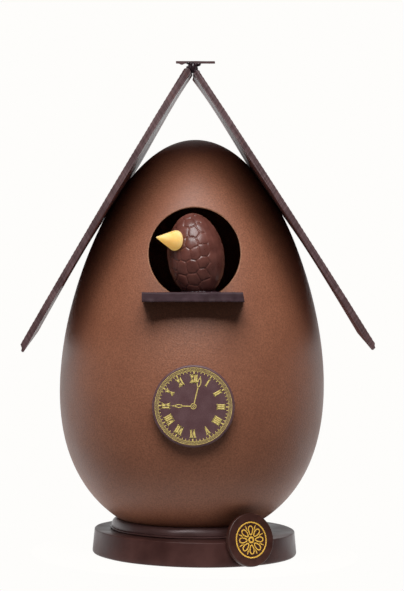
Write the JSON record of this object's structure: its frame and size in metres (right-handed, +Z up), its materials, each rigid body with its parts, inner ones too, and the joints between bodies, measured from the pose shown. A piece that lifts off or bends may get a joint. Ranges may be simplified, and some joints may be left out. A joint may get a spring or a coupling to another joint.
{
  "type": "chocolate egg",
  "caption": "Hollow chocolate egg dressed as a cuckoo clock: round base, clock dial, round doorway with a bird egg on a perch, and a pitched roof of planks.",
  "frame": {"origin": "centre of the base disc's underside", "axes": "+Z up, -Y towards the front with the dial and doorway, +X to the viewer's right"},
  "size_m": [0.2069, 0.1801, 0.3056],
  "materials": {
    "milk_chocolate": "velvet-matte sprayed milk chocolate with a fine grain",
    "dark_chocolate": "glossy cast chocolate, slightly uneven",
    "melted_chocolate": "glossy melted chocolate used as glue",
    "plank_chocolate": "satin chocolate plank with broken, layered edges",
    "bird_chocolate": "glossy moulded chocolate with a crackle",
    "yellow_chocolate": "satin yellow coloured chocolate",
    "dial_chocolate": "satin moulded chocolate",
    "medallion_chocolate": "satin moulded chocolate",
    "gold_print": "matte gold-coloured cocoa-butter print"
  },
  "bodies": {
    "root": {"base_disc": "dark_chocolate", "medallion": "medallion_chocolate", "seat_ring": "dark_chocolate", "egg_shell": "milk_chocolate", "perch_ledge": "plank_chocolate", "bird_egg": "bird_chocolate", "beak": "yellow_chocolate", "clock_dial": "dial_chocolate", "roof_panel_left": "plank_chocolate", "roof_panel_right": "plank_chocolate", "ridge_joint": "melted_chocolate", "ridge_cap": "plank_chocolate"}
  },
  "joints": []
}
